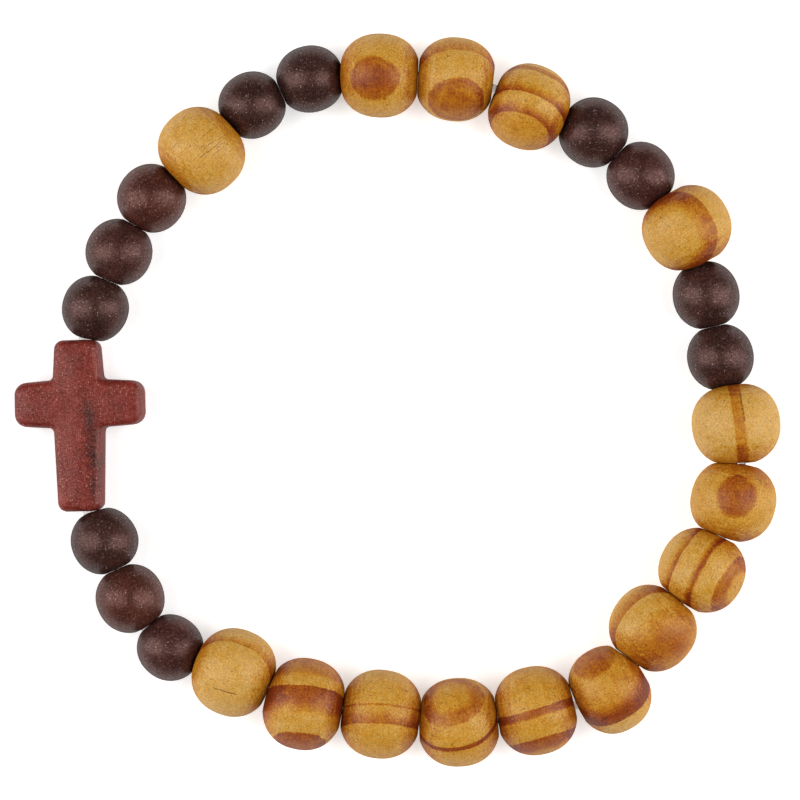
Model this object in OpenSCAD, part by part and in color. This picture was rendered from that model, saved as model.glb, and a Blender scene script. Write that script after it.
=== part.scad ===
// Rosary bracelet: fifteen wood beads, twelve small stone beads and a stone cross on one closed elastic
// thread, lying as a loop on a flat surface. Millimetres, +Z up, the middle of the footprint at the origin.

/* [Wood beads] */
// Diameter of a wood bead across its belly
wood_d = 8; // [7.4:0.1:8.8]
// Length of a wood bead along its bore
wood_l = 6.7; // [6:0.1:7]
// Diameter of the flat face at each end of a wood bead
wood_face_d = 3.2; // [3.1:0.1:4]
// Diameter of the bore through a wood bead
wood_bore_d = 2.5; // [2:0.1:2.6]
// Width of the bevel round each mouth of that bore
wood_bevel = 0.2; // [0.1:0.05:0.25]

/* [Stone beads] */
// Diameter of a stone bead across its belly
stone_d = 6.2; // [5.6:0.1:6.8]
// Length of a stone bead along its bore
stone_l = 5.5; // [5:0.1:5.8]
// Diameter of the flat face at each end of a stone bead
stone_face_d = 2.4; // [2.1:0.1:3]
// Diameter of the bore through a stone bead
stone_bore_d = 1.5; // [1.3:0.1:1.8]
// Width of the bevel round each mouth of that bore
stone_bevel = 0.15; // [0.1:0.05:0.2]

/* [Cross] */
// Length of the cross along the thread
cross_l = 15.6; // [14:0.1:18]
// Width of the cross over its side arms
cross_w = 12; // [11:0.1:14]
// Thickness of the cross
cross_t = 4.4; // [3.8:0.1:5]
// Width of the arms where they meet
cross_root_w = 4.4; // [4.2:0.1:5.2]
// Width of the arms at their ends
cross_end_w = 3.9; // [3.6:0.1:4.2]
// Distance from the upper end down to the middle of the side arms
cross_bar_drop = 5.8; // [5:0.1:6.6]
// Radius that rounds the edges and corners of the cross
cross_edge = 0.8; // [0.4:0.1:1.2]
// How far the web in each inner corner reaches out of that corner
cross_web = 0.2; // [0.1:0.05:0.4]
// Diameter of the bore along the cross
cross_bore_d = 1.5; // [1.3:0.1:1.8]

/* [Thread] */
// Diameter of the elastic thread
thread_d = 0.8; // [0.5:0.1:0.8]

/* [Fit] */
// Gap between one piece and the next where they come closest
bead_gap = 0.06; // [0.04:0.01:0.2]
// Gap between the thread and the wall of a bore where they come closest
thread_gap = 0.05; // [0.03:0.01:0.1]

/* [Hidden] */
// Columns of the string table
KIND = 0;
HEADING = 1;
SHIFT = 2;
WIDTH_SHARE = 3;
LENGTH_SHARE = 4;

// The string, clockwise from the cross: kind of piece, heading of its bore in degrees from +X, shift of the
// piece to the outside of the loop as a share of its side play, and its shares of the nominal diameter and
// length.
string = [
    ["cross", 91.5, 0, 1, 1],
    ["stone", 66, -0.9, 0.98, 0.96],
    ["stone", 64, -0.1, 0.98, 0.98],
    ["stone", 51, 0.4, 1.01, 1],
    ["wood", 43, -0.5, 1.01, 0.97],
    ["stone", 35, 0.2, 0.98, 0.97],
    ["stone", 12, 0.4, 0.99, 0.99],
    ["wood", -3, -0.1, 0.96, 0.99],
    ["wood", -7, 0.2, 0.96, 1],
    ["wood", -22, -0.8, 0.98, 0.97],
    ["stone", -34, 0.3, 1.03, 1.01],
    ["stone", -48, -0.8, 0.99, 0.97],
    ["wood", -61, 0.9, 1.01, 0.99],
    ["stone", -76, -0.4, 0.98, 0.99],
    ["stone", -78, -0.3, 0.98, 0.99],
    ["wood", -83, 0.4, 1.01, 0.99],
    ["wood", -104, 0.6, 0.97, 0.96],
    ["wood", -118, 0.1, 0.98, 0.98],
    ["wood", -128, -1, 0.99, 0.93],
    ["wood", -149, 1, 1.01, 0.93],
    ["wood", -168, 0.2, 1.01, 1],
    ["wood", -177, 0.4, 1.01, 1.02],
    ["wood", -187, -0.2, 1.01, 1.01],
    ["wood", -192, 0.1, 1.05, 1.01],
    ["wood", -202, -1, 1, 0.96],
    ["stone", -217, 0.9, 0.97, 0.95],
    ["stone", -245, 0.5, 1.01, 1],
    ["stone", -238, -1, 0.99, 0.95],
];
n = len(string);

// The cross is the first row
CROSS = 0;

// Smoothness of the turned beads, and of the rounding of the cross
$fn = 64;
edge_facets = 32;
// Sides of the thread, and how far from each bend its corner is cut
thread_sides = 8;
thread_bend = 0.35;
// Rounds of correction that close the loop
closing_rounds = 5;
// Overlap that lets one solid cut or join another cleanly
eps = 0.01;

function row(k) = string[(k + n) % n];
function is_wood(k) = row(k)[KIND] == "wood";
function is_cross(k) = row(k)[KIND] == "cross";

// Half sizes of piece k: belly, length and flat face
function half_d(k) = (is_wood(k) ? wood_d : stone_d) / 2 * row(k)[WIDTH_SHARE];
function half_l(k) = (is_cross(k) ? cross_l : is_wood(k) ? wood_l : stone_l) / 2 * row(k)[LENGTH_SHARE];
function half_face(k) = (is_wood(k) ? wood_face_d : stone_face_d) / 2 * row(k)[WIDTH_SHARE];

// Distance from the bore's axis to the centre of the arc that runs from face to belly to face
function arc_offset(k) =
    let (b = half_d(k), f = half_face(k), l = half_l(k)) (b * b - f * f - l * l) / (2 * (b - f));

// How far piece k reaches from its centre in a direction at angle a from its axis
function reach(k, a) = is_cross(k) ? cross_reach(a) : bead_reach(k, a);
function bead_reach(k, a) =
    let (o = arc_offset(k), f = half_face(k), l = half_l(k))
    a < atan2(f - o, l) ? l * cos(a) + f * sin(a) : o * sin(a) + half_d(k) - o;
function cross_reach(a) =
    (cross_l / 2 - cross_edge) * cos(a) + (cross_end_w / 2 - cross_edge) * sin(a) + cross_edge;

// How far the thread can lie off the axis of each bore
wood_play = (wood_bore_d - thread_d) / 2 - thread_gap;
stone_play = (stone_bore_d - thread_d) / 2 - thread_gap;
cross_play = (cross_bore_d - thread_d) / 2 - thread_gap;

// Height of each bore: the beads lie on their bellies. The cross is lower than they are by all the play that
// it and its neighbours have on the thread, and leans until its outer arm meets the surface.
cross_bore_z = stone_d / 2 - stone_play - cross_play;
function bore_z(k) = is_cross(k) ? cross_bore_z : half_d(k);
cross_arm = cross_w / 2 - cross_edge;
cross_core = cross_t / 2 - cross_edge;
cross_lean = asin((cross_bore_z - cross_edge) / norm([cross_arm, cross_core]))
    - atan2(cross_core, cross_arm);

// The thread bends at the joints. Joint k lies before piece k, halfway in height between two bores.
function joint_z(k) = (bore_z(k - 1) + bore_z(k)) / 2;
function pitch(k) = asin((joint_z(k + 1) - joint_z(k)) / (2 * half_l(k)));
function along(heading) = [cos(heading), sin(heading)];
function outward(heading) = [-sin(heading), cos(heading)];
function aim(heading, rise) = [cos(heading) * cos(rise), sin(heading) * cos(rise), sin(rise)];
function turn(headings, k) =
    let (i = (k + n - 1) % n, j = k % n)
    acos(min(1, aim(headings[i], pitch(i)) * aim(headings[j], pitch(j))));

// How far the bore of piece k lies above the thread, and the play that is left for it to shift sideways
function lift(k) = bore_z(k) - (joint_z(k) + joint_z(k + 1)) / 2;
function bore_play(k) = is_wood(k) ? wood_play : stone_play;
function side_play(k) = sqrt(max(0, pow(bore_play(k), 2) - pow(lift(k), 2)));
function shift(k) = row(k)[SHIFT] * side_play(k);

// 1 where the string bends to the inside of the loop at joint k, -1 where it bends to the outside
function bend_side(headings, k) = sign(sin(headings[(k + n - 1) % n] - headings[k % n]));

// Stretch of thread from piece k to its joint j, so that the pieces on both sides stay a gap apart. A piece
// that sits off the thread on the side that opens can lie closer, and on the side that closes it lies
// further.
function stretch(headings, k, j) =
    let (a = turn(headings, j) / 2, opening = shift(k) * bend_side(headings, j))
    (reach(k, a) - opening * sin(a) + bead_gap / 2) / cos(a);
function run_in(headings, k) = stretch(headings, k, k) * cos(pitch(k));
function run_out(headings, k) = stretch(headings, k, k + 1) * cos(pitch(k));
function runs(headings) = [for (k = [0 : n - 1]) run_in(headings, k) + run_out(headings, k)];

function total(v) = v * [for (x = v) 1];
function sum(v) = [for (c = [0 : len(v[0]) - 1]) total([for (x = v) x[c]])];

// Turns every heading by the least amount that brings the end of the string back to its start
function closed(headings, rounds) = rounds == 0 ? headings :
    let (
        r = runs(headings),
        miss = sum([for (k = [0 : n - 1]) r[k] * along(headings[k])]),
        across = [for (h = headings) outward(h)],
        xx = total([for (k = [0 : n - 1]) pow(r[k] * across[k].x, 2)]),
        yy = total([for (k = [0 : n - 1]) pow(r[k] * across[k].y, 2)]),
        xy = total([for (k = [0 : n - 1]) r[k] * r[k] * across[k].x * across[k].y]),
        pull = -[yy * miss.x - xy * miss.y, xx * miss.y - xy * miss.x] / (xx * yy - xy * xy)
    )
    closed([for (k = [0 : n - 1]) headings[k] + r[k] * (across[k] * pull) * 180 / PI], rounds - 1);

headings = closed([for (r = string) r[HEADING]], closing_rounds);
run = runs(headings);
loose_joints = [for (k = 0, p = [0, 0]; k < n; p = p + run[k] * along(headings[k]), k = k + 1) p];
loose_centres = [for (k = [0 : n - 1])
    loose_joints[k] + run_in(headings, k) * along(headings[k]) + shift(k) * outward(headings[k])];

// Turns and leans a point of the cross as the cross lies, before it is moved to its place on the string
function cross_lie(p) =
    let (
        x = p.x * cos(cross_lean) - p.z * sin(cross_lean),
        z = p.x * sin(cross_lean) + p.z * cos(cross_lean),
        h = headings[CROSS]
    )
    [x * sin(h) + p.y * cos(h), p.y * sin(h) - x * cos(h), z];

// Centres of the balls that round the ends of the two bars of the cross, and its belt where the bars meet
cross_bar_y = cross_l / 2 - cross_bar_drop;
end_core = cross_end_w / 2 - cross_edge;
root_core = cross_root_w / 2 - cross_edge;
upright_points = [for (z = [-1, 1], x = [-1, 1]) each [
    [x * end_core, -cross_l / 2 + cross_edge, z * cross_core],
    [x * root_core, cross_bar_y, z * cross_core],
    [x * end_core, cross_l / 2 - cross_edge, z * cross_core]]];
crossbar_points = [for (z = [-1, 1], y = [-1, 1]) each [
    [-cross_arm, cross_bar_y + y * end_core, z * cross_core],
    [0, cross_bar_y + y * root_core, z * cross_core],
    [cross_arm, cross_bar_y + y * end_core, z * cross_core]]];
// The web is a square on its corner, so its sides cut across the inner corners of the cross
web_core = 2 * root_core + (2 - sqrt(2)) * cross_edge + cross_web * sqrt(2);
web_points = [for (z = [-1, 1], q = [[1, 0], [0, 1], [-1, 0], [0, -1]])
    [q.x * web_core, cross_bar_y + q.y * web_core, z * cross_core]];

// Outer limits of the string in plan
function sides(k, dir) = is_cross(k)
    ? max([for (p = concat(upright_points, crossbar_points)) cross_lie(p) * dir]) + cross_edge
    : reach(k, acos(abs(aim(headings[k], pitch(k)) * dir)));
function at_height(p, z) = [p.x, p.y, z];
function limit(dir) = max([for (k = [0 : n - 1]) at_height(loose_centres[k], 0) * dir + sides(k, dir)]);
middle = [limit([1, 0, 0]) - limit([-1, 0, 0]), limit([0, 1, 0]) - limit([0, -1, 0])] / 2;

joints = [for (k = [0 : n - 1]) at_height(loose_joints[k] - middle, joint_z(k))];
centres = [for (k = [0 : n - 1]) at_height(loose_centres[k] - middle, bore_z(k))];

// Names of the nodes, numbered in the order of the string
wood_rows = [for (k = [0 : n - 1]) if (is_wood(k)) k];
stone_rows = [for (k = [0 : n - 1]) if (!is_wood(k) && !is_cross(k)) k];
function numbered(name, i) = str(name, "_", i < 9 ? "0" : "", i + 1);
function wood_name(i) = numbered("wood_bead", i);
function stone_name(i) = numbered("stone_bead", i);

// Half of the lengthwise section of a bead, with the bore's axis along Y
module bead_section(k, bore_d, bevel) {
    r = bore_d / 2;
    l = half_l(k);
    difference() {
        intersection() {
            translate([arc_offset(k), 0]) circle(r = half_d(k) - arc_offset(k));
            translate([r, -l]) square([half_d(k), 2 * l]);
        }
        for (side = [-1, 1])
            polygon([
                [r - eps, side * (l + eps)],
                [r + bevel + eps, side * (l + eps)],
                [r - eps, side * (l - bevel - eps)]]);
    }
}

// A turned bead at its place on the string
module bead(k, bore_d, bevel) {
    translate(centres[k]) rotate([0, 90 - pitch(k), headings[k]])
        rotate_extrude() bead_section(k, bore_d, bevel);
}

module wood_bead(i) {
    color("#C8913F") bead(wood_rows[i], wood_bore_d, wood_bevel);
}

module stone_bead(i) {
    color("#3F2C2E") bead(stone_rows[i], stone_bore_d, stone_bevel);
}

// Rounded bar: the skin round equal balls at the given points
module rounded_bar(points) {
    hull() for (p = points) translate(p) sphere(r = cross_edge, $fn = edge_facets);
}

module cross() {
    color("#7B3531") translate(centres[CROSS]) rotate([0, -cross_lean, headings[CROSS] - 90])
        difference() {
            union() {
                rounded_bar(upright_points);
                rounded_bar(crossbar_points);
                rounded_bar(web_points);
            }
            rotate([90, 0, 0]) cylinder(h = cross_l + 2, d = cross_bore_d, center = true);
        }
}

// Route of the thread: straight through each piece, with every bend at a joint cut off on both sides
thread_route = [for (k = [0 : n - 1]) each [
    joints[k] - thread_bend * aim(headings[(k + n - 1) % n], pitch(k - 1)),
    joints[k] + thread_bend * aim(headings[k], pitch(k))]];

module elastic_thread() {
    m = len(thread_route);
    rings = [for (i = [0 : m - 1])
        let (
            way = thread_route[(i + 1) % m] - thread_route[(i + m - 1) % m],
            side = cross([0, 0, 1], way) / norm(cross([0, 0, 1], way)),
            top = cross(way, side) / norm(way)
        )
        for (j = [0 : thread_sides - 1])
            let (a = 360 * j / thread_sides)
            thread_route[i] + thread_d / 2 * (cos(a) * side + sin(a) * top)];
    faces = [for (i = [0 : m - 1], j = [0 : thread_sides - 1])
        let (
            a = i * thread_sides + j,
            b = i * thread_sides + (j + 1) % thread_sides,
            c = ((i + 1) % m) * thread_sides + (j + 1) % thread_sides,
            d = ((i + 1) % m) * thread_sides + j
        )
        each [[a, b, c], [a, c, d]]];
    color("#D5D5D2") polyhedron(rings, faces);
}

cross();
for (i = [0 : len(wood_rows) - 1]) wood_bead(i);
for (i = [0 : len(stone_rows) - 1]) stone_bead(i);
elastic_thread();
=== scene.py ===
import math

import bmesh
import bpy
import numpy as np
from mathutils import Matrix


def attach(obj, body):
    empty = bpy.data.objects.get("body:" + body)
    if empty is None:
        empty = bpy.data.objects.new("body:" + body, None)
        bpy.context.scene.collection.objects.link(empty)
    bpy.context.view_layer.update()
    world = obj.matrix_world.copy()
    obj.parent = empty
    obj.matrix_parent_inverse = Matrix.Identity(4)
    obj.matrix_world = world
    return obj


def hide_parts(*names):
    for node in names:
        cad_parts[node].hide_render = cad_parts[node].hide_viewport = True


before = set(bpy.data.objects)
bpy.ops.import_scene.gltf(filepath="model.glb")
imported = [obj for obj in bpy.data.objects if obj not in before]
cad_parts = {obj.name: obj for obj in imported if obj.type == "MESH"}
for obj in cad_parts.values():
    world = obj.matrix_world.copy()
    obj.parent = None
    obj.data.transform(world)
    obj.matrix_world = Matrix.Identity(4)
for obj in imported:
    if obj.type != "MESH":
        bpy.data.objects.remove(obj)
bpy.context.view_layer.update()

# A rosary bracelet: fifteen turned wood beads, twelve stone beads and a stone cross on an elastic
# thread. Sizes in the tables are in millimetres; meshes are in metres. Two points
# nearer than SEAM are one.
MM = 0.001
SEAM = 1e-4 * MM
UP = np.array([0.0, 0.0, 1.0])

# How finely a bead is divided: round its axis, over its belly, round the mouth's lip and down the bore.
BEAD_TURNS = 96
BELLY_STEPS = 30
MOUTH_STEPS = 5
BORE_STEPS = 4

# How a bead was turned and has worn: the radius of its mouth's lip, how far it is out of round as a share
# of its radius, the radius of the flat that a neighbour leaves, and how full its shoulders are, as the
# power of a superellipse.
WOOD_TURNING = dict(mouth=0.2, wobble=0.006, wear=1.6, power=2.25)
STONE_TURNING = dict(mouth=0.15, wobble=0.004, wear=1.1, power=2.1)

# What polishing takes off the solid's bead all round, and how soft the edge of a worn flat is.
POLISH = 0.004
WORN_EDGE = 0.08

# The taut string: the gap that is left between two pieces, how often all the joints are gone through, how
# many degrees the feelers of a joint fan out to either side, and how many a worn flat may lean.
TOUCH = 0.006
TOUCH_ROUNDS = 6
TOUCH_FAN = 12
MOST_LEAN = 25

# How far the two flats after a piece lean towards each other, where that isn't all the way. 0 leaves the
# whole wedge between them open.
CLOSED_SHARE = {"wood_bead_03": 0.0, "wood_bead_10": 0.6}

# The cross: the width of its arms at the crossing and at the ends, the radius of the upright's and the
# bar's corners and of the inner corners, and how much shorter than the solid the bar's inner end is.
# UPRIGHT_SHIFT sets the upright off the bore's axis, out of the loop where it is below 0.
CROSS_ROOT = 4.4
CROSS_END = 3.9
CROSS_CORNER = 0.85
BAR_CORNER = 1.15
CROSS_FILLET = 0.45
BAR_SHORT = 0.36
UPRIGHT_SHIFT = -0.27

# The cross's surface: how far its edges are rounded, the power of the superellipse that rounds them, how
# much its faces swell, the width of its bore, and from how many degrees on an edge is drawn sharp.
CROSS_INSET = 0.75
CROSS_POWER = 2.4
CROSS_CROWN = 0.10
CROSS_BORE = 1.5
BORE_EDGE = 40

# How finely the cross is divided: corners, inner corners, sides, ends, edges, faces and bore.
CORNER_STEPS = 9
FILLET_STEPS = 4
SIDE_STEPS = 14
END_STEPS = 5
EDGE_STEPS = 10
CROWN_STEPS = 8
BORE_SIDES = 32

# The elastic thread: its radius, how far it bends either side of a joint, how far towards the inside of the
# loop it is pulled in the cross, and how finely it is divided round, in a bend and between two bends.
THREAD_RADIUS = 0.4
THREAD_BEND = 0.35
THREAD_PULL = 0.3
THREAD_SIDES = 20
BEND_STEPS = 7
STRAIGHT_STEPS = 6

# The photographer's table: the camera's place and lens, half the side of the paper and how much light comes
# through it, the soft boxes' distance, degrees from straight above, size and watts, and the room's light.
CAMERA_AT = (0.262, -0.006, 404.0)
CAMERA_LENS = 198.0
PAPER_HALF = 3000.0
PAPER_GLOW = 0.5
BOX_DISTANCE = 700
BOX_OFF_VERTICAL = 50
BOX_WIDTH = 520
BOX_HEIGHT = 1000
BOX_POWER = 6.1
ROOM_LIGHT = 0.045

# How each wood bead was cut from the board. roll turns the growth layers about the string, 0 with their
# faces up and 90 with them on edge outwards; lift tips them along the string; bands lists where the colour
# changes across the layers, as (millimetres from the bead's middle, tone), tone 0 palest sapwood to 1
# darkest latewood; cracks lists hairline checks on the upper side, each as its two ends' (along, out) and
# half its width.
WOOD_FIGURES = {
    "wood_bead_01": dict(
        roll=15, lift=0,
        bands=[(-5, 0.16), (5, 0.12)],
        cracks=[(0.05, -0.3, 1.5, -0.38, 0.03), (1.0, 0.55, 1.9, 0.5, 0.025),
                (0.3, -0.75, 1.8, -0.8, 0.03), (0.2, -1.25, 1.7, -1.35, 0.025),
                (-0.6, -0.62, 0.3, -0.7, 0.03), (1.7, -0.55, 2.5, -0.6, 0.03),
                (-2.0, 1.8, -1.1, 1.75, 0.02), (0.9, -1.0, 2.1, -1.1, 0.02)]),
    "wood_bead_02": dict(
        roll=-8, lift=-4.5,
        bands=[(-1, 0.15), (3.15, 0.2), (3.25, 0.35), (3.33, 0.64), (3.55, 0.66), (3.8, 0.84)]),
    "wood_bead_03": dict(
        roll=-41, lift=6,
        bands=[(-1.5, 0.1), (-0.8, 0.3), (0.2, 0.46), (0.55, 0.5), (0.62, 0.16), (2.9, 0.14),
               (3.0, 0.62), (3.2, 0.66), (3.5, 0.5), (3.65, 0.64), (4.2, 0.6)]),
    "wood_bead_04": dict(
        roll=-60, lift=0,
        bands=[(-2.25, 0.1), (-2.1, 0.5), (-1.52, 0.6), (-1.42, 0.1), (0.1, 0.14), (0.6, 0.45),
               (1.06, 0.75), (1.13, 0.12), (1.8, 0.16), (2.4, 0.55), (2.74, 0.78), (2.82, 0.3),
               (4.2, 0.34)]),
    "wood_bead_05": dict(
        roll=-40, lift=0,
        bands=[(-1, 0.14), (1.05, 0.14), (1.2, 0.62), (2, 0.58), (2.6, 0.36), (3, 0.15), (4.2, 0.12)]),
    "wood_bead_06": dict(
        roll=90, lift=0,
        bands=[(-4, 0.0), (-0.5, 0.02), (-0.36, 0.44), (0.48, 0.44), (0.68, 0.05), (4, 0.0)],
        cracks=[(-2.5, 0.43, -0.1, 0.54, 0.07)]),
    "wood_bead_07": dict(
        roll=-2, lift=-9,
        bands=[(-1, 0.2), (3.38, 0.24), (3.46, 0.5), (3.56, 0.7), (4.2, 0.72)]),
    "wood_bead_08": dict(
        roll=68, lift=0,
        bands=[(-2.4, 0.1), (-1.85, 0.3), (-1.25, 0.72), (-1.18, 0.1), (0.35, 0.12), (0.75, 0.55),
               (0.95, 0.8), (1.12, 0.66), (1.25, 0.14), (2.7, 0.16), (2.85, 0.62), (3.5, 0.66),
               (3.7, 0.26)]),
    "wood_bead_09": dict(
        roll=35, lift=6,
        bands=[(-1.4, 0.08), (-0.95, 0.3), (0, 0.5), (0.42, 0.6), (0.5, 0.08), (2.1, 0.14),
               (2.6, 0.36), (3.2, 0.44), (3.7, 0.6), (4.2, 0.7)]),
    "wood_bead_10": dict(
        roll=-58, lift=0,
        bands=[(-0.81, 0.14), (-0.74, 0.9), (0.2, 0.86), (0.9, 0.6), (1.5, 0.36), (2.6, 0.32),
               (3.4, 0.3), (3.55, 0.6), (4.2, 0.68)]),
    "wood_bead_11": dict(
        roll=90, lift=-4.5,
        bands=[(-4, 0.3), (-0.5, 0.22), (-0.42, 0.74), (0.2, 0.7), (0.4, 0.28), (2.25, 0.22),
               (2.36, 0.78), (3.1, 0.76), (3.6, 0.4), (4.2, 0.28)]),
    "wood_bead_12": dict(
        roll=-43, lift=9,
        bands=[(-1, 0.24), (0.75, 0.24), (0.85, 0.86), (1.18, 0.84), (1.28, 0.22), (2.86, 0.2),
               (2.98, 0.52), (3.45, 0.62), (3.62, 0.52), (3.78, 0.32), (4.2, 0.26)]),
    "wood_bead_13": dict(
        roll=76, lift=-3.6,
        bands=[(-4, 0.24), (-0.28, 0.2), (-0.2, 0.55), (-0.1, 0.55), (-0.02, 0.24), (0.3, 0.32),
               (1, 0.52), (1.48, 0.68), (1.54, 0.22), (4.2, 0.26)]),
    "wood_bead_14": dict(
        roll=69, lift=-6,
        bands=[(-4, 0.6), (-1.9, 0.5), (-1.4, 0.2), (-0.55, 0.16), (-0.47, 0.8), (0.8, 0.76),
               (1.7, 0.36), (2.3, 0.16), (3.38, 0.16), (3.46, 0.8), (4.2, 0.74)]),
    "wood_bead_15": dict(
        roll=33, lift=-2,
        bands=[(-4, 0.14), (0, 0.14), (0.4, 0.36), (0.85, 0.46), (0.97, 0.08), (4.2, 0.04)],
        cracks=[(0.86, 1.74, -1.26, 1.5, 0.05)]),
}

# The colours of the tones from 0 to 1, how many millimetres either side of a bead's middle the bands reach,
# and the brown of pores and cracks.
WOOD_PALETTE = [(0.0, "#C0954E"), (0.25, "#B9852B"), (0.5, "#A76714"), (0.75, "#90450E"), (1.0, "#6C270A")]
BAND_REACH = 5.0
PORE_BROWN = "#421A06"

# The painted dark reflection of the cross, a dark band painted on its face: its colour, and lines from (x,
# y) to (x, y) from the cross's middle, each with half its width.
DARK_REFLECTION_BROWN = "#1E1413"
CROSS_DARK_REFLECTION = [(0.75, 1.6, 1.05, 0.2, 0.5), (1.05, 0.2, 1.25, -3.6, 0.55), (1.25, -3.6, 1.15, -6.4, 0.4)]

# The kinds of stone: two close shades, the colour of their dust and of their painted glints, how much of
# the dust shows at most, and how rough the polish is.
STONES = {
    "red_stone": dict(dark="#5E1F18", light="#782A22", speck="#D2A698", dust=0.09, roughness=0.38,
                      # The cross's painted dark reflection, a dark band painted on its face.
                      dark_reflection=CROSS_DARK_REFLECTION),
    "dark_stone": dict(dark="#261411", light="#3C221D", speck="#C4AAA2", dust=0.06, roughness=0.36),
    "warm_brown_stone": dict(dark="#301713", light="#462722", speck="#C6ACA3", dust=0.06, roughness=0.36),
    "red_brown_stone": dict(dark="#3A1B14", light="#4E2820", speck="#C8AEA4", dust=0.06, roughness=0.36),
}

# The stone beads that aren't of the dark stone.
STONE_OF = {
    "stone_bead_02": "warm_brown_stone",
    "stone_bead_03": "red_brown_stone",
    "stone_bead_07": "warm_brown_stone",
    "stone_bead_10": "warm_brown_stone",
    "stone_bead_11": "red_brown_stone",
}

# The gloss of lacquered wood and polished stone, what is left of it where the surface turns away, and the
# tints of their highlights.
WOOD_GLOSS = 0.3
STONE_GLOSS = 0.43
GLOSS_LEFT = 0.01
WARM_GLOSS = (1.0, 0.88, 0.74, 1.0)
RED_GLOSS = (1.0, 0.58, 0.52, 1.0)

# Sockets by number, where a node has several of one name: the range that a MapRange node reads and the
# range that it gives, and a Mix node's share, its two colours and the mixed colour.
FROM, TO, LOW, HIGH = 1, 2, 3, 4
SHARE, FIRST, SECOND, MIXED = 0, 6, 7, 2


def linear(code):
    """An sRGB hex value as linear RGBA: below 0.04045 a share of 1/12.92, above it the 2.4 power."""
    share = [int(code[i:i + 2], 16) / 255 for i in (1, 3, 5)]
    return tuple(v / 12.92 if v <= 0.04045 else ((v + 0.055) / 1.055) ** 2.4 for v in share) + (1.0,)


# Measures of the CAD nodes

def points_of(mesh):
    """A mesh's points in millimetres."""
    points = np.empty(len(mesh.vertices) * 3, np.float32)
    mesh.vertices.foreach_get("co", points)
    return (points.reshape(-1, 3) / MM).astype(float)


def corners_of(name):
    """The corners of a CAD node's triangles in millimetres, as (triangle, corner, xyz)."""
    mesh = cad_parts[name].data
    mesh.calc_loop_triangles()
    corners = np.empty(len(mesh.loop_triangles) * 3, np.int32)
    mesh.loop_triangles.foreach_get("vertices", corners)
    return points_of(mesh)[corners].reshape(-1, 3, 3)


def principal_axes(corners):
    """Directions of least to greatest spread: the eigenvectors of the sum over all triangles of area
    times (aa + bb + cc + (a + b + c)(a + b + c)), each corner measured from the middle."""
    edges = corners[:, 1:] - corners[:, :1]
    area = np.linalg.norm(np.cross(edges[:, 0], edges[:, 1]), axis=1) / 2
    arms = np.concatenate([corners, corners.sum(axis=1, keepdims=True)], axis=1)
    spread, axes = np.linalg.eigh(np.einsum("t,tki,tkj->ij", area, arms, arms))
    return spread, axes.T


def bead_frame(name):
    """A bead's middle, its axis clockwise along the string, the directions out of the loop and up, its
    half lengths and radii. Its flats don't lean yet, and the thread isn't pulled off its axis."""
    corners = corners_of(name)
    points = corners.reshape(-1, 3)
    middle = (points.min(axis=0) + points.max(axis=0)) / 2
    spread, axes = principal_axes(corners - middle)
    axis = axes[2] if spread[2] - spread[1] > spread[1] - spread[0] else axes[0]
    axis = axis * np.sign(axis @ np.array([middle[1], -middle[0], 0.0]))
    out = np.cross(UP, axis)
    out /= np.linalg.norm(out)
    along = (points - middle) @ axis
    radius = np.linalg.norm(points - middle - along[:, None] * axis, axis=1)
    half = along.max()
    return dict(name=name, middle=middle, axis=axis, out=out, up=np.cross(axis, out), ahead=half,
                back=half, belly=radius.max() - POLISH, bore=radius.min(), pull=np.zeros(3),
                lean_ahead=np.zeros(3), lean_back=np.zeros(3))


def cross_frame():
    """The cross's middle, its three axes, half sizes, and how far the bar lies above its middle."""
    corners = corners_of("cross")
    points = corners.reshape(-1, 3)
    middle = (points.min(axis=0) + points.max(axis=0)) / 2
    _, wide, long = principal_axes(corners - middle)[1]
    wide = wide * np.sign(wide[0])
    long = long * np.sign(long[1])
    axes = np.stack([wide, long, np.cross(wide, long)], axis=1)
    local = (points - middle) @ axes
    low, high = local.min(axis=0), local.max(axis=0)
    half = (high - low) / 2
    middle = middle + axes @ ((low + high) / 2)
    local = (points - middle) @ axes
    # Only the bar reaches so far to either side.
    bar = local[np.abs(local[:, 0]) > 0.97 * half[0], 1]
    return middle, axes, half, (bar.min() + bar.max()) / 2


# Meshes

def grid_faces(rows, columns, close_rows, close_columns):
    """Four-cornered faces between neighbouring points of a grid, also from the last to the first where
    it is closed."""
    i = np.arange(rows if close_rows else rows - 1)[:, None]
    j = np.arange(columns if close_columns else columns - 1)[None, :]
    below, beside = (i + 1) % rows, (j + 1) % columns
    faces = np.broadcast_arrays(i * columns + j, i * columns + beside,
                                below * columns + beside, below * columns + j)
    return np.stack(faces, axis=-1).reshape(-1, 4)


def make_piece(name, grid, close_rows, close_columns):
    """A smooth-shaded object of one grid of points, given in millimetres as (row, column, xyz)."""
    rows, columns = grid.shape[:2]
    mesh = bpy.data.meshes.new(name)
    faces = grid_faces(rows, columns, close_rows, close_columns)
    mesh.from_pydata((grid.reshape(-1, 3) * MM).tolist(), [], faces.tolist())
    mesh.shade_smooth()
    piece = bpy.data.objects.new(name, mesh)
    bpy.context.scene.collection.objects.link(piece)
    return piece


def close_seams(mesh):
    """Makes one point of those that coincide, which closes seams and poles, and turns the faces out."""
    clean = bmesh.new()
    clean.from_mesh(mesh)
    bmesh.ops.remove_doubles(clean, verts=clean.verts, dist=SEAM)
    bmesh.ops.recalc_face_normals(clean, faces=clean.faces)
    clean.to_mesh(mesh)
    clean.free()


def store(piece, name, values):
    """Keeps one vector for each point under a name that the material reads."""
    attribute = piece.data.attributes.new(name, "FLOAT_VECTOR", "POINT")
    attribute.data.foreach_set("vector", values.astype(np.float32).ravel())


def place(piece, material, node):
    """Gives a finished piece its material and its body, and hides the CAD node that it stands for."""
    piece.data.materials.append(material)
    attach(piece, "root")
    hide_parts(node)


# The beads

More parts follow.
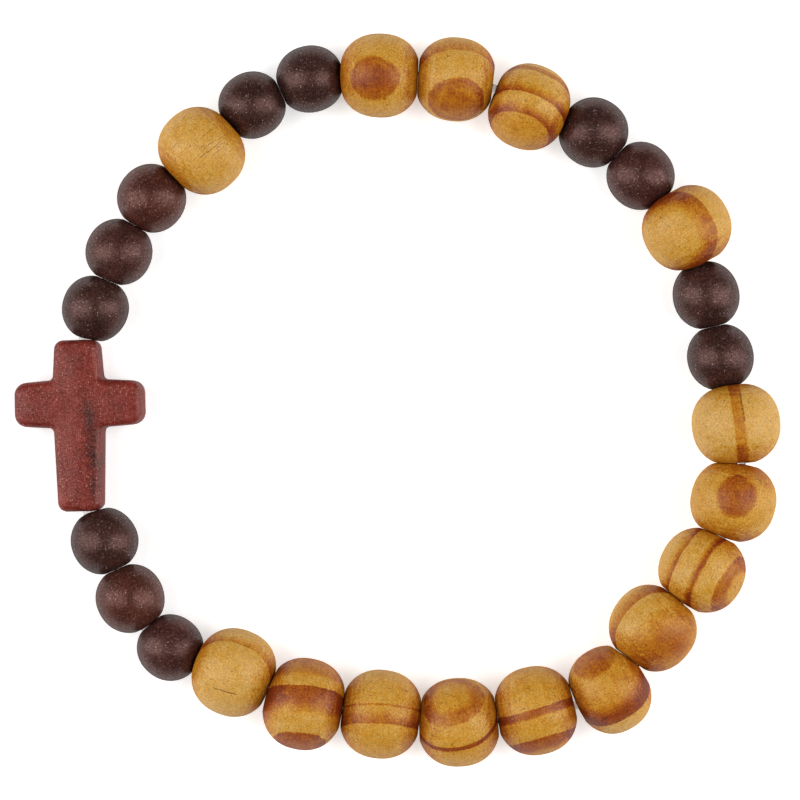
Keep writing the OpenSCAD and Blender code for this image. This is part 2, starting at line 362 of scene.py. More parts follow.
def bead_to_turn(name, seed):
    """All that the turner needs: the bead's frame, its turning and the angle at which it is widest."""
    turning = WOOD_TURNING if name.startswith("wood") else STONE_TURNING
    phase = np.random.default_rng(seed).uniform(0, math.pi)
    return bead_frame(name) | turning | dict(seed=seed, phase=phase)


def turned_half(bead, ray, angle, end, way):
    """Half a bead round its axis, from the belly's middle over the end into the bore's middle, as
    offsets from its middle. The ball is a superellipse, radius = belly * cos(t) ^ (2 / p) and along =
    deep * sin(t) ^ (2 / p), as deep as makes its flat as wide as the wear. The flat is the plane along =
    half + radius * ray . lean, and the two are joined softly: (a + b - hypot(a - b, edge)) / 2. Inside
    the lip follow a quarter circle into the mouth and the straight wall of the bore. The hand-held tool
    leaves the bead out of round by wobble * (1 - cos(2 * (angle - phase)) * cos(2 * along / half)) / 2,
    which only takes wood away."""
    belly, bore, mouth, power = (bead[key] for key in ("belly", "bore", "mouth", "power"))
    half, lean, lip = bead[end], bead["lean_" + end], bore + mouth
    deep = half / math.sqrt(1 + lean @ lean) / (1 - (bead["wear"] / belly) ** power) ** (1 / power)
    t = np.linspace(0, math.acos((lip / belly) ** (power / 2)), BELLY_STEPS)
    turn = np.linspace(0, math.pi / 2, MOUTH_STEPS + 1)[1:]
    wall = np.ones(BORE_STEPS)
    ball = deep * np.sin(np.concatenate([t, np.full(MOUTH_STEPS + BORE_STEPS, t[-1])])) ** (2 / power)
    radius = np.concatenate([belly * np.cos(t) ** (2 / power), lip - mouth * np.sin(turn), bore * wall])
    drop = np.concatenate([np.zeros(BELLY_STEPS), mouth * (1 - np.cos(turn)), mouth * wall])
    share = np.concatenate([np.ones(BELLY_STEPS + MOUTH_STEPS), np.linspace(1, 0, BORE_STEPS + 1)[1:]])
    flat = half + way * np.maximum(radius, lip) * (ray @ lean)
    along = ((ball + flat - np.hypot(ball - flat, WORN_EDGE)) / 2 - drop) * share
    lost = bead["wobble"] * (1 - np.cos(2 * (angle - bead["phase"])) * np.cos(2 * ball / half)) / 2
    outside = np.clip((radius - lip) / (belly - lip), 0, 1)
    return (way * along)[..., None] * bead["axis"] + (radius * (1 - lost * outside))[..., None] * ray


def turned_bead(bead):
    """The two halves of a bead as one grid, closed both round the axis and along the outline."""
    angle = np.linspace(0, 2 * math.pi, BEAD_TURNS, endpoint=False)[:, None]
    ray = np.cos(angle)[..., None] * bead["up"] + np.sin(angle)[..., None] * bead["out"]
    ahead = turned_half(bead, ray, angle, "ahead", 1)
    back = turned_half(bead, ray, angle, "back", -1)
    return bead["middle"] + np.concatenate([ahead, back[:, -2:0:-1]], axis=1)


def store_grain(piece, grid, bead, figure):
    """Keeps each point's place from the bead's middle in millimetres, twice. grain is the place in the
    board that the bead was cut from: x along the fibres, y across the growth layers, z along them. seat
    is the place on the string: x along it, y out of the loop, z up."""
    roll, lift = math.radians(figure["roll"]), math.radians(figure["lift"])
    level = math.cos(roll) * bead["up"] + math.sin(roll) * bead["out"]
    across = math.cos(lift) * level + math.sin(lift) * bead["axis"]
    fibre = bead["axis"] - (bead["axis"] @ across) * across
    fibre /= np.linalg.norm(fibre)
    offset = grid - bead["middle"]
    store(piece, "grain", offset @ np.stack([fibre, across, np.cross(fibre, across)], axis=1))
    store(piece, "seat", offset @ np.stack([bead["axis"], bead["out"], bead["up"]], axis=1))


def wood_bead(bead):
    """Turns one wood bead, with its own figure."""
    name, figure = bead["name"], WOOD_FIGURES[bead["name"]]
    grid = turned_bead(bead)
    piece = make_piece("turned_" + name, grid, True, True)
    store_grain(piece, grid, bead, figure)
    place(piece, lacquered_pine(name, figure, bead["seed"]), name)


def stone_bead(bead, stones):
    """Turns one stone bead, of its own kind of stone."""
    name = bead["name"]
    piece = make_piece("polished_" + name, turned_bead(bead), True, True)
    place(piece, stones[STONE_OF.get(name, "dark_stone")], name)


# The taut string

def has_cross(piece, after):
    """Whether one of two neighbours is the cross, the only piece that brings its own points."""
    return "points" in piece or "points" in after


def joint_way(piece, after):
    """The direction from one piece to the next: from middle to middle between two beads, and halfway
    between the two axes where one of them is the cross."""
    way = piece["axis"] + after["axis"] if has_cross(piece, after) else after["middle"] - piece["middle"]
    return way / np.linalg.norm(way)


def lean_towards(axis, way, share):
    """The slope that turns a face square to the axis towards one square to the way, per millimetre."""
    slope = ((way @ axis) * axis - way) / (way @ axis) * share
    most = math.tan(math.radians(MOST_LEAN))
    return slope * min(1, most / max(np.linalg.norm(slope), 1e-9))


def surface_points(piece):
    """The points of a piece's surface as it is drawn now."""
    return piece["points"] if "points" in piece else turned_bead(piece).reshape(-1, 3)


def spare_room(piece, after):
    """How far two neighbours are from touching: the greatest, over directions fanned about the joint's
    own, of the distance between the last point of the one and the first point of the other."""
    fan = np.radians(np.arange(-TOUCH_FAN, TOUCH_FAN + 1))[:, None]
    way = joint_way(piece, after)
    ways = np.cos(fan) * way + np.sin(fan) * np.cross(UP, way)
    last = (surface_points(piece) @ ways.T).max(axis=0)
    first = (surface_points(after) @ ways.T).min(axis=0)
    return (first - last).max() - TOUCH


def pull_together(string):
    """The taut thread has worn neighbouring beads flat against each other: each joint's two flats lean
    until they are square to the way from piece to piece, and the ends are drawn out or in until they all
    but touch. The cross keeps its shape, so a bead beside it takes up the whole gap."""
    joints = list(zip(string, string[1:] + string[:1]))
    for piece, after in joints:
        way = joint_way(piece, after)
        share = CLOSED_SHARE.get(piece["name"], 1.0)
        piece["lean_ahead"] = lean_towards(piece["axis"], way, share)
        after["lean_back"] = lean_towards(after["axis"], way, share)
    for piece, after in joints * TOUCH_ROUNDS:
        drawn = spare_room(piece, after) / (1 if has_cross(piece, after) else 2)
        piece["ahead"] += drawn
        after["back"] += drawn


# Materials

def add(tree, kind, inputs=None, stops=None, out=0, **settings):
    """Adds one shader node with its settings, its input values or links, and a ramp's stops, and
    returns one of its outputs."""
    made = tree.nodes.new("ShaderNode" + kind)
    for name, value in settings.items():
        setattr(made, name, value)
    for key, value in (inputs or {}).items():
        if isinstance(value, bpy.types.NodeSocket):
            tree.links.new(value, made.inputs[key])
        else:
            made.inputs[key].default_value = value
    if stops:
        elements = made.color_ramp.elements
        while len(elements) < len(stops):
            elements.new(1.0)
        for element, (position, colour) in zip(elements, stops):
            element.position = position
            element.color = colour
    return made.outputs[out]


def new_material(name):
    """An empty node material: its tree and its output node's surface socket."""
    material = bpy.data.materials.new(name)
    material.use_nodes = True
    tree = material.node_tree
    tree.nodes.clear()
    output = tree.nodes.new("ShaderNodeOutputMaterial")
    return material, tree, output.inputs["Surface"]


def lost_gloss(tree, gloss):
    """A hand-rubbed skin is dull where it turns away: its gloss falls to what is left of it."""
    facing = add(tree, "LayerWeight", {"Blend": 0.5}, out="Facing")
    return add(tree, "MapRange", {"Value": facing, FROM: 0.3, TO: 0.8, LOW: gloss, HIGH: GLOSS_LEFT})


def keep_plain_gloss(shader, gloss):
    """Sets the gloss on the shader's own socket too, because the export drops its link."""
    shader.node.inputs["Specular IOR Level"].default_value = gloss


def wavy(tree, seat, width):
    """The place moved sideways by up to half the width, by a smooth noise with waves of 0.8 mm."""
    noise = add(tree, "TexNoise", {"Vector": seat, "Scale": 1.3, "Detail": 2.0}, out="Color")
    noise = add(tree, "VectorMath", {0: noise, 1: (0.5, 0.5, 0.5)}, operation="SUBTRACT")
    return add(tree, "VectorMath", {0: noise, 1: (width, width, 0.0), 2: seat}, operation="MULTIPLY_ADD")


def line_mask(tree, seat, line):
    """1 on a straight line, 0 from 1.5 of its width on, by the distance |q - t * d| of the point q to the
    line from start to stop along d, where t = q . d / d . d is kept between 0 and 1."""
    start, stop, width = line[0:2], line[2:4], line[4]
    d = (stop[0] - start[0], stop[1] - start[1], 0.0)
    square = d[0] ** 2 + d[1] ** 2
    share = (d[0] / square, d[1] / square, 0.0)
    q = add(tree, "VectorMath", {0: seat, 1: (start[0], start[1], 0.0)}, operation="SUBTRACT")
    q = add(tree, "VectorMath", {0: q, 1: (1.0, 1.0, 0.0)}, operation="MULTIPLY")
    t = add(tree, "VectorMath", {0: q, 1: share}, out="Value", operation="DOT_PRODUCT")
    t = add(tree, "Math", {0: t, 1: 0.0}, operation="ADD", use_clamp=True)
    foot = add(tree, "VectorMath", {0: d, "Scale": t}, operation="SCALE")
    away = add(tree, "VectorMath", {0: q, 1: foot}, out="Value", operation="DISTANCE")
    return add(tree, "MapRange", {"Value": away, FROM: 0.3 * width, TO: 1.5 * width, LOW: 1.0, HIGH: 0.0})


def board_noise(tree, grain, seed, waves, detail, roughness):
    """A noise on the board's own axes, with so many waves a millimetre along the fibres, across the
    growth layers and along the layers. Each bead has its own part of it."""
    shift = (seed * 7.3, seed * 3.1, seed * 5.7)
    spot = add(tree, "Mapping", {"Vector": grain, "Location": shift, "Scale": waves})
    return add(tree, "TexNoise", {"Vector": spot, "Scale": 1.0, "Detail": detail, "Roughness": roughness})


def growth_bands(tree, grain, seed, ring, bands):
    """The tone of the growth layers. They waver by about a tenth of a millimetre over some millimetres,
    and the rings of the tool fray their edges."""
    waver = board_noise(tree, grain, seed, (0.25, 0.5, 0.45), 3.0, 0.55)
    waver = add(tree, "MapRange", {"Value": waver, FROM: 0.0, TO: 1.0, LOW: -0.18, HIGH: 0.18})
    layer = add(tree, "SeparateXYZ", {"Vector": grain}, out="Y")
    layer = add(tree, "Math", {0: layer, 1: waver}, operation="ADD")
    layer = add(tree, "MapRange", {"Value": layer, FROM: -BAND_REACH, TO: BAND_REACH})
    frayed = add(tree, "Math", {0: ring, 1: 0.0055, 2: layer}, operation="MULTIPLY_ADD")
    stops = [((at + BAND_REACH) / (2 * BAND_REACH), (tone, tone, tone, 1.0)) for at, tone in bands]
    return add(tree, "ValToRGB", {"Fac": frayed}, stops=stops)


def end_grain(tree, seat, fleck, ring):
    """End grain drinks the lacquer and turns amber towards the bore, in fibre-sized specks."""
    along = add(tree, "SeparateXYZ", {"Vector": seat}, out="X")
    along = add(tree, "Math", {0: along}, operation="ABSOLUTE")
    along = add(tree, "Math", {0: fleck, 1: 0.35, 2: along}, operation="MULTIPLY_ADD")
    along = add(tree, "Math", {0: ring, 1: 0.45, 2: along}, operation="MULTIPLY_ADD")
    return add(tree, "MapRange", {"Value": along, FROM: 1.6, TO: 3.4, LOW: 0.0, HIGH: 0.38},
               interpolation_type="SMOOTHSTEP")


def pores_and_cracks(tree, grain, seat, seed, fleck, cracks):
    """How dark pores, resin ducts and cracks make the wood: dots a tenth of a millimetre wide, some drawn
    out along the grain, and hairline checks on the upper side, wavy and torn by the fibre ends."""
    pore = board_noise(tree, grain, seed, (2.2, 5.0, 5.0), 2.0, 0.6)
    dark = add(tree, "MapRange", {"Value": pore, FROM: 0.62, TO: 0.74, LOW: 0.0, HIGH: 0.7})
    if not cracks:
        return dark
    upper = add(tree, "SeparateXYZ", {"Vector": seat}, out="Z")
    upper = add(tree, "MapRange", {"Value": upper, FROM: 0.0, TO: 0.5})
    torn = add(tree, "MapRange", {"Value": fleck, FROM: -0.7, TO: 0.5, LOW: 0.25, HIGH: 1.0})
    ragged = wavy(tree, seat, 0.35)
    for crack in cracks:
        mask = add(tree, "Math", {0: line_mask(tree, ragged, crack), 1: upper}, operation="MULTIPLY")
        dark = add(tree, "Math", {0: mask, 1: torn, 2: dark}, operation="MULTIPLY_ADD", use_clamp=True)
    return dark


def pine_colour(tree, grain, seat, seed, figure, ring, streak, fleck):
    """The tone of the growth layers, shifted by rings, streaks, fibre ends and clouds, as a colour of the
    palette, with single cells, pores and cracks in it."""
    # Clouds of resin are about a millimetre across, in each bead of another size.
    cloud = add(tree, "TexNoise", {"Vector": grain, "Scale": 0.55 + 0.02 * seed, "Detail": 2.0})
    cloud = add(tree, "MapRange", {"Value": cloud, FROM: 0.3, TO: 0.7, LOW: -1.0, HIGH: 1.0})
    tone = growth_bands(tree, grain, seed, ring, figure["bands"])
    for pattern, strength in ((ring, 0.08), (streak, 0.07), (fleck, 0.15), (cloud, 0.09)):
        tone = add(tree, "Math", {0: pattern, 1: strength, 2: tone}, operation="MULTIPLY_ADD")
    ends = end_grain(tree, seat, fleck, ring)
    tone = add(tree, "Math", {0: tone, 1: ends}, operation="ADD", use_clamp=True)
    colour = add(tree, "ValToRGB", {"Fac": tone}, stops=[(at, linear(code)) for at, code in WOOD_PALETTE])

    # Single cells, 0.13 mm wide, take up more or less of the lacquer.
    mottle = add(tree, "TexNoise", {"Vector": grain, "Scale": 7.5, "Detail": 1.0, "Roughness": 0.7})
    mottle = add(tree, "MapRange", {"Value": mottle, FROM: 0.3, TO: 0.7, LOW: 0.76, HIGH: 1.27})
    colour = add(tree, "VectorMath", {0: colour, "Scale": mottle}, operation="SCALE")
    dark = pores_and_cracks(tree, grain, seat, seed, fleck, figure.get("cracks", ()))
    return add(tree, "Mix", {SHARE: dark, FIRST: colour, SECOND: linear(PORE_BROWN)}, out=MIXED,
               data_type="RGBA")


def lacquered_pine(bead_name, figure, seed):
    """Turned pine under satin lacquer: honey-coloured early wood, sharp brown latewood bands, fine
    streaks along the fibres, amber end grain round the bore, small dark pores, and a soft sheen."""
    material, tree, surface = new_material("lacquered_pine_" + bead_name[-2:])
    grain = add(tree, "Attribute", attribute_name="grain", out="Vector")
    seat = add(tree, "Attribute", attribute_name="seat", out="Vector")

    # The turning tool leaves fine rings round the bead, 0.1 to 0.3 mm apart.
    ring = board_noise(tree, grain, seed, (4.0, 0.6, 0.6), 4.0, 0.65)
    ring = add(tree, "MapRange", {"Value": ring, FROM: 0.25, TO: 0.75, LOW: -1.0, HIGH: 1.0})
    # Fibre bundles are short streaks along the grain, 0.1 to 0.3 mm wide.
    streak = board_noise(tree, grain, seed, (0.9, 4.0, 4.0), 3.0, 0.7)
    streak = add(tree, "MapRange", {"Value": streak, FROM: 0.25, TO: 0.75, LOW: -1.0, HIGH: 1.0})
    # Fibre ends are 0.2 mm wide.
    fleck = add(tree, "TexNoise", {"Vector": grain, "Scale": 5.5, "Detail": 2.0, "Roughness": 0.7})
    fleck = add(tree, "MapRange", {"Value": fleck, FROM: 0.3, TO: 0.7, LOW: -1.0, HIGH: 1.0})
    colour = pine_colour(tree, grain, seat, seed, figure, ring, streak, fleck)

    relief = add(tree, "Math", {0: ring, 1: 0.5, 2: streak}, operation="MULTIPLY_ADD")
    bump = add(tree, "Bump", {"Strength": 0.6, "Distance": 0.004 * MM, "Height": relief})
    shine = add(tree, "MapRange", {"Value": streak, FROM: -1.0, TO: 1.0, LOW: 0.34, HIGH: 0.46})
    gloss = lost_gloss(tree, WOOD_GLOSS)
    shader = add(tree, "BsdfPrincipled", {"Base Color": colour, "Roughness": shine, "IOR": 1.5,
                                          "Normal": bump, "Specular IOR Level": gloss,
                                          "Specular Tint": WARM_GLOSS})
    keep_plain_gloss(shader, WOOD_GLOSS)
    tree.links.new(shader, surface)
    return material


def painted_dark_reflection(tree, point, dark_reflection):
    """How dark the painted dark reflection is, a dark band painted on the face: the darkest of its wavy
    lines on the piece's plan, broken into patches of a millimetre."""
    patches = add(tree, "TexNoise", {"Vector": point, "Scale": 1.1 / MM, "Detail": 3.0, "Roughness": 0.6})
    patches = add(tree, "MapRange", {"Value": patches, FROM: 0.35, TO: 0.6, LOW: 0.35, HIGH: 0.85})
    seat = wavy(tree, add(tree, "Attribute", attribute_name="seat", out="Vector"), 0.9)
    painted_dark_share = line_mask(tree, seat, dark_reflection[0])
    for line in dark_reflection[1:]:
        painted_dark_share = add(tree, "Math", {0: painted_dark_share, 1: line_mask(tree, seat, line)}, operation="MAXIMUM")
    return add(tree, "Math", {0: painted_dark_share, 1: patches}, operation="MULTIPLY")


def painted_glint_specks(tree, point):
    """Painted glints: specks 0.2 mm apart, one in the middle of each cell, of which few are bright."""
    cells = {"Vector": point, "Scale": 5.5 / MM, "Randomness": 1.0}
    speck = add(tree, "TexVoronoi", cells)
    speck = add(tree, "MapRange", {"Value": speck, FROM: 0.1, TO: 0.36, LOW: 1.0, HIGH: 0.0})
    chosen = add(tree, "SeparateColor", {"Color": add(tree, "TexVoronoi", cells, out="Color")}, out="Red")
    chosen = add(tree, "MapRange", {"Value": chosen, FROM: 0.5, TO: 1.0, LOW: 0.0, HIGH: 0.95})
    chosen = add(tree, "Math", {0: chosen, 1: 3.5}, operation="POWER")
    return add(tree, "Math", {0: speck, 1: chosen}, operation="MULTIPLY")


def polished_stone(name, dark, light, speck, dust, roughness, dark_reflection=()):
    """Tumbled, softly polished fine-grained stone: two close shades in clouds of one to two millimetres,
    grains of 0.15 mm with pale mineral dust between them that glitters copper-red, and pale specks that
    are painted glints. A painted dark reflection, if any, is a dark band painted on the face."""
    material, tree, surface = new_material(name)
    point = add(tree, "TexCoord", out="Object")
    cloud = add(tree, "TexNoise", {"Vector": point, "Scale": 0.6 / MM, "Detail": 5.0, "Roughness": 0.7})
    colour = add(tree, "ValToRGB", {"Fac": cloud}, stops=[(0.34, linear(dark)), (0.68, linear(light))])
    # Painted dark reflection: a dark band mixed into the stone's colour.
    if dark_reflection:
        painted_dark_share = painted_dark_reflection(tree, point, dark_reflection)
        colour = add(tree, "Mix", {SHARE: painted_dark_share, FIRST: colour, SECOND: linear(DARK_REFLECTION_BROWN)}, out=MIXED,
                     data_type="RGBA")
    grit = add(tree, "TexNoise", {"Vector": point, "Scale": 6.5 / MM, "Detail": 2.0, "Roughness": 0.8})
    shade = add(tree, "MapRange", {"Value": grit, FROM: 0.3, TO: 0.7, LOW: 0.55, HIGH: 1.35})
    colour = add(tree, "VectorMath", {0: colour, "Scale": shade}, operation="SCALE")
    dusty = add(tree, "MapRange", {"Value": grit, FROM: 0.54, TO: 0.72, LOW: 0.0, HIGH: dust})
    # The dust is the stone's own colour; the bright specks are painted glints.
    for pale in (dusty, painted_glint_specks(tree, point)):
        colour = add(tree, "Mix", {SHARE: pale, FIRST: colour, SECOND: linear(speck)}, out=MIXED,
                     data_type="RGBA")
    bump = add(tree, "Bump", {"Strength": 0.5, "Distance": 0.02 * MM, "Height": grit})
    glitter = add(tree, "MapRange", {"Value": grit, FROM: 0.35, TO: 0.7, LOW: 0.4, HIGH: 1.6})
    gloss = add(tree, "Math", {0: lost_gloss(tree, STONE_GLOSS), 1: glitter}, operation="MULTIPLY")
    shader = add(tree, "BsdfPrincipled", {"Base Color": colour, "Roughness": roughness, "IOR": 1.55,
                                          "Normal": bump, "Specular IOR Level": gloss,
                                          "Specular Tint": RED_GLOSS})
    keep_plain_gloss(shader, STONE_GLOSS)
    tree.links.new(shader, surface)
    return material


def clear_elastic():
    """Extruded polyurethane elastic: milky and slightly see-through, with a smooth skin and clouds of a
    millimetre that hardly show."""
    material, tree, surface = new_material("clear_elastic_cord")
    point = add(tree, "TexCoord", out="Object")
    cloud = add(tree, "TexNoise", {"Vector": point, "Scale": 0.8 / MM, "Detail": 2.0})
    milky = [(0.3, linear("#DAD9D5")), (0.7, linear("#EFEEEC"))]
    colour = add(tree, "ValToRGB", {"Fac": cloud}, stops=milky)
    shader = add(tree, "BsdfPrincipled", {"Base Color": colour, "Roughness": 0.15, "IOR": 1.3,
                                          "Transmission Weight": 0.85})
    tree.links.new(shader, surface)
    return material


def white_paper():
    """Matt white paper, its fibres clotted in faint clouds of 2 mm, with some light coming through it."""
    material, tree, surface = new_material("white_paper")
    point = add(tree, "TexCoord", out="Object")
    fibre = add(tree, "TexNoise", {"Vector": point, "Scale": 0.5 / MM, "Detail": 3.0})
    whites = [(0.3, linear("#E4E4E3")), (0.7, linear("#E8E8E7"))]
    colour = add(tree, "ValToRGB", {"Fac": fibre}, stops=whites)
    shader = add(tree, "BsdfPrincipled", {"Base Color": colour, "Roughness": 0.9, "Specular IOR Level": 0.2,
                                          "Emission Color": (1, 1, 1, 1), "Emission Strength": PAPER_GLOW})
    tree.links.new(shader, surface)
    return material


# The cross

def half_arm(length, radius):
    """Half the outline of one arm, from the inner corner to the middle of its end, as the foot on the
    arm's axis, the outline point and the direction outwards, each with the arm along +x and the half
    on +y: a fillet arc, the tapering side, the round outer corner and the flat end."""
    slope = (CROSS_ROOT - CROSS_END) / 2 / (length - CROSS_ROOT / 2)
    lean = math.atan(slope)
    root, end = CROSS_ROOT / 2, CROSS_END / 2
    # The fillet's centre lies on the diagonal between two arms, one radius from both sides.
    diagonal = root + CROSS_FILLET / (math.cos(lean) * (1 + slope))
    turn = np.linspace(math.radians(225), math.radians(270) - lean, FILLET_STEPS)
    fillet_way = np.stack([np.cos(turn), np.sin(turn)], axis=1)
    fillet = np.array([diagonal, diagonal]) + CROSS_FILLET * fillet_way
    corner_y = end - radius / math.cos(lean) + slope * radius
    turn = np.linspace(math.radians(90) - lean, 0, CORNER_STEPS)
    corner_way = np.stack([np.cos(turn), np.sin(turn)], axis=1)
    corner = np.array([length - radius, corner_y]) + radius * corner_way
    step = np.linspace(0, 1, SIDE_STEPS + 1)[1:-1, None]
    side = fillet[-1] + (corner[0] - fillet[-1]) * step
    side_way = np.repeat(corner_way[:1], len(side), axis=0)
    step = np.linspace(0, 1, END_STEPS)[1:, None]
    end_row = corner[-1] * (1 - step) + np.array([length, 0.0]) * step
    end_way = np.repeat(np.array([[1.0, 0.0]]), len(end_row), axis=0)
    outline = np.concatenate([fillet, side, corner, end_row])
    outward = np.concatenate([-fillet_way, side_way, corner_way, end_way])
    way_out = (outline[:, 0] - fillet[0, 0]) / (corner[0, 0] - fillet[0, 0])
    foot = (length - end) * np.clip(way_out, 0, 1)
    return np.stack([foot, np.zeros_like(foot)], axis=1), outline, outward


def cross_ring(half, bar):
    """The whole outline, arm after arm anticlockwise from the right one: first the half on its right
    hand from the inner corner out, then the other half back to the next inner corner. Feet, outline
    points and outward directions are turned with their arm."""
    arms = [(half[0] - BAR_SHORT - UPRIGHT_SHIFT, BAR_CORNER), (half[1] - bar, CROSS_CORNER),
            (half[0] + UPRIGHT_SHIFT, BAR_CORNER), (half[1] + bar, CROSS_CORNER)]
    parts = [[], [], []]
    for quarter, (length, corner) in enumerate(arms):
        turn = quarter * math.pi / 2
        spin = np.array([[math.cos(turn), math.sin(turn)], [-math.sin(turn), math.cos(turn)]])
        for part, row in zip(parts, half_arm(length, corner)):
            part.append(np.concatenate([row[:-1] * [1, -1], row[::-1][:-1]]) @ spin)
    foot, outline, outward = (np.concatenate(part) for part in parts)
    crossing = np.array([UPRIGHT_SHIFT, bar])
    return foot + crossing, outline + crossing, outward


def cross_surface(half, bar):
    """Each point of the outline is carried over the edge: from its foot on the arm's axis, out over the
    slightly crowned face, round the edge as a quarter of a superellipse, down the wall and back
    underneath. The inset from the outline and the height follow that quarter."""
    foot, outline, outward = cross_ring(half, bar)
    turn = np.linspace(0, math.pi / 2, EDGE_STEPS)
    round_in = CROSS_INSET * (1 - np.sin(turn) ** (2 / CROSS_POWER))
    round_up = CROSS_INSET * (1 - np.cos(turn) ** (2 / CROSS_POWER))
    inner = outline - CROSS_INSET * outward
    share = np.linspace(0, 1, CROWN_STEPS, endpoint=False)
    crown = foot[:, None] + (inner - foot)[:, None] * share[None, :, None]
    crown_up = half[2] - CROSS_CROWN * share ** 2
    edge = outline[:, None] - round_in[None, :, None] * outward[:, None]
    edge_up = half[2] - CROSS_CROWN - round_up
    flat = np.concatenate([crown, edge], axis=1)
    height = np.concatenate([crown_up, edge_up])[None, :, None]
    top = np.concatenate([flat, np.broadcast_to(height, flat.shape[:2] + (1,))], axis=2)
    return np.concatenate([top, top[:, ::-1] * [1, 1, -1]], axis=1)


def drill_through(piece, middle, axis, half):
    """Cuts the thread's bore: a cylinder of the bore's radius round the long axis, a tenth longer than
    the cross, is taken away."""
    side = np.cross(axis, UP)
    side /= np.linalg.norm(side)
    angle = np.linspace(0, 2 * math.pi, BORE_SIDES, endpoint=False)[:, None]
    ring = CROSS_BORE / 2 * (np.cos(angle) * side + np.sin(angle) * np.cross(side, axis))
    reach = 1.1 * half * axis
    centre = np.array([[middle - reach] * BORE_SIDES, [middle + reach] * BORE_SIDES])
    drill = make_piece("drill", np.concatenate([centre[:1], centre + ring[None], centre[1:]]), False, True)
    close_seams(drill.data)
    cut = piece.modifiers.new("bore", "BOOLEAN")
    cut.object = drill
    cut.operation = "DIFFERENCE"
    cut.solver = "EXACT"
    bpy.context.view_layer.update()
    drilled = piece.evaluated_get(bpy.context.evaluated_depsgraph_get())
    finished = bpy.data.meshes.new_from_object(drilled)
    piece.modifiers.clear()
    piece.data = finished
    finished.set_sharp_from_angle(angle=math.radians(BORE_EDGE))
    bpy.data.objects.remove(drill)


def stone_cross(name, material):
    """Carves and drills the cross, and returns what the string needs to know of it."""
    middle, axes, half, bar = cross_frame()
    grid = middle + cross_surface(half, bar) @ axes.T
    piece = make_piece(name, grid, True, False)
    close_seams(piece.data)
    drill_through(piece, middle, axes[:, 1], half[1])
    store(piece, "seat", (points_of(piece.data) - middle) @ axes)
    place(piece, material, "cross")
    return dict(name="cross", middle=middle, axis=axes[:, 1], ahead=half[1], back=half[1],
                bore=CROSS_BORE / 2, pull=THREAD_PULL * axes[:, 0], points=grid.reshape(-1, 3))


# The thread

def thread_joints(string):
    """Where the thread passes from piece to piece: between the two mouths, nearer the tighter bore."""
    joints = []
    for piece, after in zip(string, string[1:] + string[:1]):
        leaves = piece["middle"] + piece["pull"] + piece["ahead"] * piece["axis"]
        enters = after["middle"] + after["pull"] - after["back"] * after["axis"]
        play = piece["bore"] - THREAD_RADIUS
        play_after = after["bore"] - THREAD_RADIUS
        joints.append((leaves * play_after + enters * play) / (play + play_after))
    return np.array(joints)


def thread_path(string):
    """The thread's centre line: straight from joint to joint, each bend rounded as a parabola between
    points THREAD_BEND either side of it. In the bore of the cross the taut thread is pulled towards the
    inside of the loop."""
    joints = thread_joints(string)
    to_next = np.roll(joints, -1, axis=0) - joints
    ahead = to_next / np.linalg.norm(to_next, axis=1, keepdims=True)
    behind = np.roll(ahead, 1, axis=0)
    start = (joints - THREAD_BEND * behind)[:, None]
    stop = (joints + THREAD_BEND * ahead)[:, None]
    t = np.linspace(0, 1, BEND_STEPS)[None, :, None]
    bends = start * (1 - t) ** 2 + joints[:, None] * 2 * t * (1 - t) + stop * t ** 2
    share = np.linspace(0, 1, STRAIGHT_STEPS)[None, 1:-1, None]
    straight = stop + (np.roll(start, -1, axis=0) - stop) * share
    return np.concatenate([bends, straight], axis=1).reshape(-1, 3)


def elastic_thread(name, string, material):
    """A round tube along the closed path: at each point a circle in the plane of up and the direction
    across the path."""
    path = thread_path(string)
    ahead = np.roll(path, -1, axis=0) - np.roll(path, 1, axis=0)
    ahead /= np.linalg.norm(ahead, axis=1, keepdims=True)
    across = np.cross(ahead, UP)
    across /= np.linalg.norm(across, axis=1, keepdims=True)
    above = np.cross(ahead, across)
    angle = np.linspace(0, 2 * math.pi, THREAD_SIDES, endpoint=False)[None, :, None]
    ring = THREAD_RADIUS * (np.cos(angle) * across[:, None] + np.sin(angle) * above[:, None])
    piece = make_piece(name, path[:, None] + ring, True, True)
    place(piece, material, "elastic_thread")


# Camera, floor and light

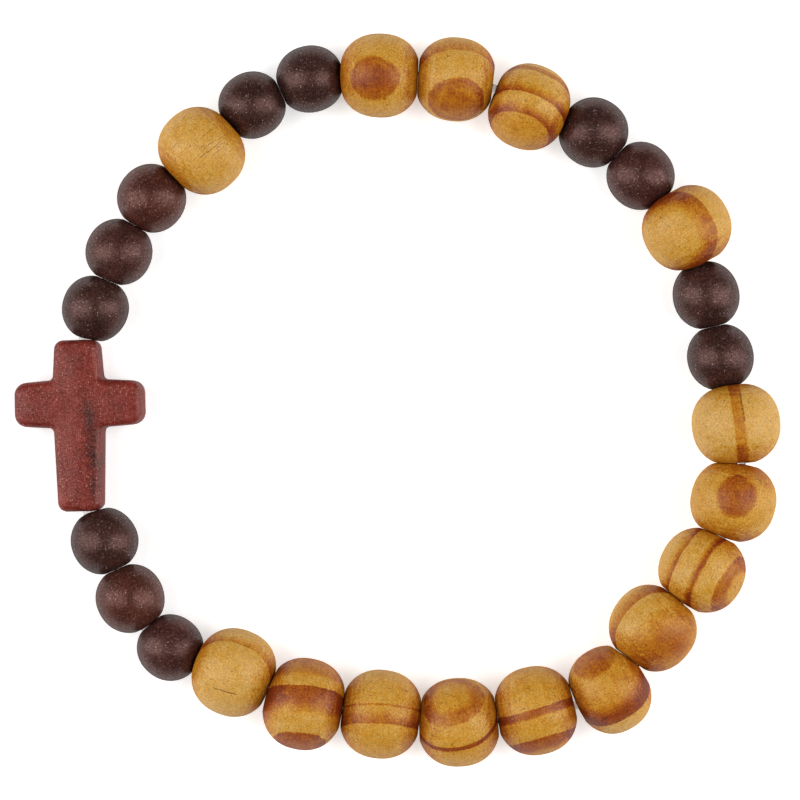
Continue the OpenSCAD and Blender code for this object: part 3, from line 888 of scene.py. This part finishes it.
def set_camera():
    """Straight above the loop, its long side up, at the photograph's framing."""
    camera = bpy.data.cameras.new("camera")
    camera.lens = CAMERA_LENS
    camera.sensor_width = 36
    camera.clip_start = 0.01
    camera.clip_end = 20
    holder = bpy.data.objects.new("camera", camera)
    holder.location = [v * MM for v in CAMERA_AT]
    bpy.context.scene.collection.objects.link(holder)
    bpy.context.scene.camera = holder


def set_floor():
    """A plain sheet of white paper: one large square."""
    span = np.array([-PAPER_HALF, PAPER_HALF])
    grid = np.stack(np.broadcast_arrays(span[None, :], span[:, None], 0.0), axis=-1)
    floor = make_piece("floor", grid, False, False)
    floor.data.materials.append(white_paper())


def set_soft_box(name, side):
    """A soft box that faces the middle of the table from the left, -1, or from the right, 1."""
    lean = math.radians(BOX_OFF_VERTICAL)
    lamp = bpy.data.lights.new(name, "AREA")
    lamp.shape = "RECTANGLE"
    lamp.size = BOX_HEIGHT * MM
    lamp.size_y = BOX_WIDTH * MM
    lamp.energy = BOX_POWER
    holder = bpy.data.objects.new(name, lamp)
    away = BOX_DISTANCE * MM
    holder.location = (side * away * math.sin(lean), 0, away * math.cos(lean))
    holder.rotation_euler = (0, side * lean, 0)
    holder.visible_camera = False
    bpy.context.scene.collection.objects.link(holder)


def set_light():
    """Two soft boxes face each other across the table and leave the top dark, in a dim white room."""
    set_soft_box("left_soft_box", -1)
    set_soft_box("right_soft_box", 1)
    world = bpy.data.worlds.new("studio")
    world.use_nodes = True
    room = world.node_tree.nodes["Background"].inputs
    room["Color"].default_value = (1, 1, 1, 1)
    room["Strength"].default_value = ROOM_LIGHT
    bpy.context.scene.world = world
    bpy.context.scene.view_settings.view_transform = "Standard"


set_camera()
set_floor()
set_light()

stones = {kind: polished_stone("polished_" + kind, **look) for kind, look in STONES.items()}
bead_names = sorted(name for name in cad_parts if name.startswith(("wood", "stone")))
string = [bead_to_turn(name, seed) for seed, name in enumerate(bead_names)]
string.append(stone_cross("carved_cross", stones["red_stone"]))
string.sort(key=lambda piece: -math.atan2(piece["middle"][1], piece["middle"][0]))
pull_together(string)
for bead in string:
    if bead["name"].startswith("wood"):
        wood_bead(bead)
    elif bead["name"].startswith("stone"):
        stone_bead(bead, stones)
elastic_thread("clear_elastic_thread", string, clear_elastic())
